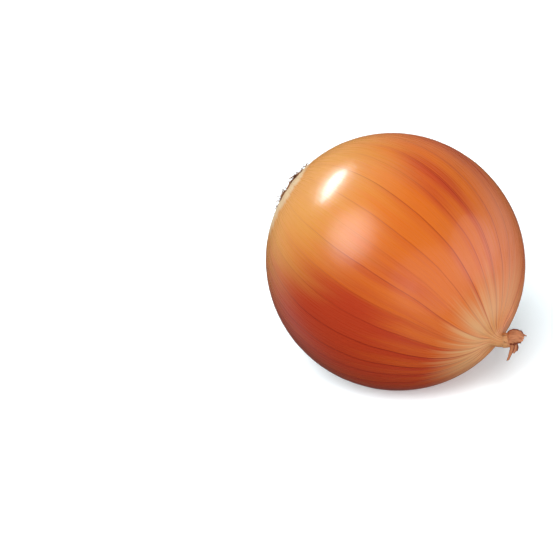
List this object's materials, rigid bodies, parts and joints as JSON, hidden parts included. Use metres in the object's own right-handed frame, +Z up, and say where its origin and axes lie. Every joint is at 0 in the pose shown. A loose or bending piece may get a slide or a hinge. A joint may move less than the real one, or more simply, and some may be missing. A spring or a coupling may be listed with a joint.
{
  "type": "onion",
  "caption": "Whole brown onion lying on its side: a globe-shaped bulb in glossy veined skin, with a pleated neck, dry torn leaf ends and a corky plate of trimmed roots.",
  "frame": {"origin": "centre of the small flat spot that the bulb rests on", "axes": "+X horizontal from the root plate towards the neck, +Z up, +Y completing a right-handed frame; the stem axis dips below +X towards the neck"},
  "size_m": [0.0897, 0.08, 0.0796],
  "materials": {
    "skin": "glossy thin dry skin, orange to red-brown with darker veins",
    "dry_leaf": "matt papery brown",
    "root_cork": "matt fibrous brown"
  },
  "bodies": {
    "root": {"bulb": "skin", "neck_leaves": "dry_leaf", "root_plate": "root_cork"}
  },
  "joints": []
}
